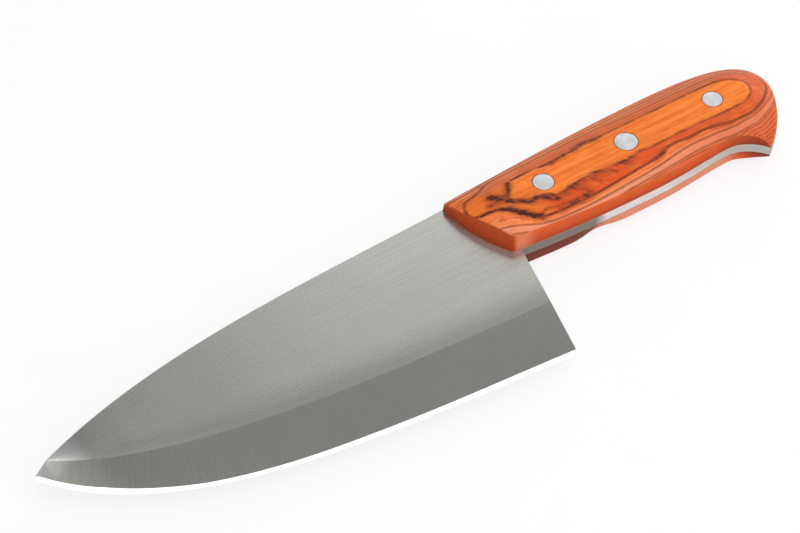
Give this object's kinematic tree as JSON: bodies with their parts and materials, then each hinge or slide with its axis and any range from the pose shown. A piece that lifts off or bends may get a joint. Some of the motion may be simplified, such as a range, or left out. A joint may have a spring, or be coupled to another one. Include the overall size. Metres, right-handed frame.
{
  "type": "butcher knife",
  "caption": "Broad kitchen butcher knife with an upswept tip, a full tang and riveted laminated-wood scales that end in a beak.",
  "frame": {"origin": "middle of the knife's length and width, on the surface that it lies on", "axes": "+X from the tip to the butt, +Y from the edge to the spine, +Z from the right side up to the left side"},
  "size_m": [0.3206, 0.0834, 0.0185],
  "materials": {
    "blade_steel": "satin stainless steel, flats brushed lengthwise and bevels brushed across",
    "scale_wood": "resin-bonded dyed laminated wood, sanded through its layers and polished",
    "bond_adhesive": "cured epoxy",
    "rivet_aluminium": "ground flush with the wood, matte"
  },
  "bodies": {
    "root": {"blade": "blade_steel", "left_scale": "scale_wood", "right_scale": "scale_wood", "left_adhesive": "bond_adhesive", "right_adhesive": "bond_adhesive", "front_rivet_post": "rivet_aluminium", "front_rivet_sleeve": "rivet_aluminium", "middle_rivet_post": "rivet_aluminium", "middle_rivet_sleeve": "rivet_aluminium", "rear_rivet_post": "rivet_aluminium", "rear_rivet_sleeve": "rivet_aluminium"}
  },
  "joints": []
}
